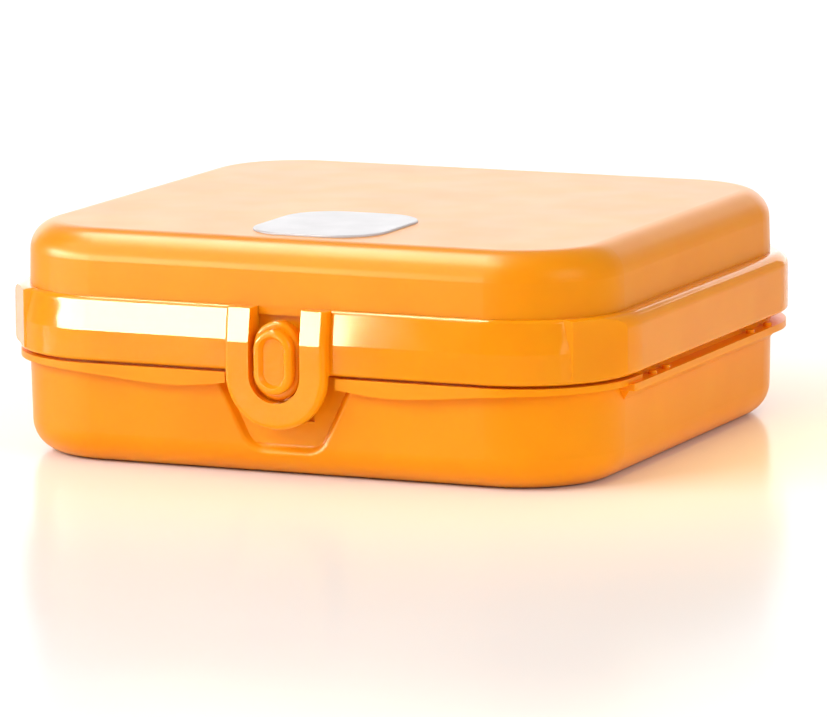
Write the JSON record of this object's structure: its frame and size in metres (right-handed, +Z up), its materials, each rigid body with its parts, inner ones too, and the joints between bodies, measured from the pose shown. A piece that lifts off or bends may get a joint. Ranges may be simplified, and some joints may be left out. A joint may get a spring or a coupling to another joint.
{
  "type": "mouthguard case",
  "caption": "Hinged rounded-square snap case in orange plastic with a loop-and-button clasp, holding a mouthguard.",
  "frame": {"origin": "on the floor under the middle of the closed case", "axes": "+X to the right seen from the latch, +Y to the back (hinge side), +Z up"},
  "size_m": [0.095, 0.092, 0.0333],
  "materials": {
    "satin_orange": "satin translucent polypropylene",
    "satin_orange_lid": "satin translucent polypropylene",
    "gloss_orange": "polished translucent plastic",
    "pin_steel": "drawn wire",
    "badge_pale": "satin",
    "guard_rubber": "matt moulded",
    "guard_frame": "satin",
    "guard_gel": "soft gel"
  },
  "bodies": {
    "base": {"base_shell": "satin_orange", "hinge_pin_left": "pin_steel", "hinge_pin_right": "pin_steel"},
    "button": {"latch_button": "gloss_orange"},
    "lid": {"lid_shell": "satin_orange_lid", "clasp_band": "gloss_orange", "lid_badge": "badge_pale"},
    "mouthguard": {"mouthguard_shell": "guard_rubber", "mouthguard_frame": "guard_frame", "mouthguard_liner": "guard_gel"}
  },
  "joints": [
    {"name": "lid_hinge", "type": "hinge", "parent": "base", "child": "lid", "pos_m": [0, 0.0442, 0.0148], "axis": [-1, 0, 0], "range_deg": [0, 125], "deforming": ["latch_button"]},
    {"name": "button_press", "type": "slide", "parent": "base", "child": "button", "axis": [0, 1, 0], "range_m": [0, 0.0012], "stiffness_N_per_m": 2000},
    {"name": "guard_lift", "type": "slide", "parent": "base", "child": "mouthguard", "axis": [0, 0, 1], "range_m": [0, 0.008]}
  ]
}
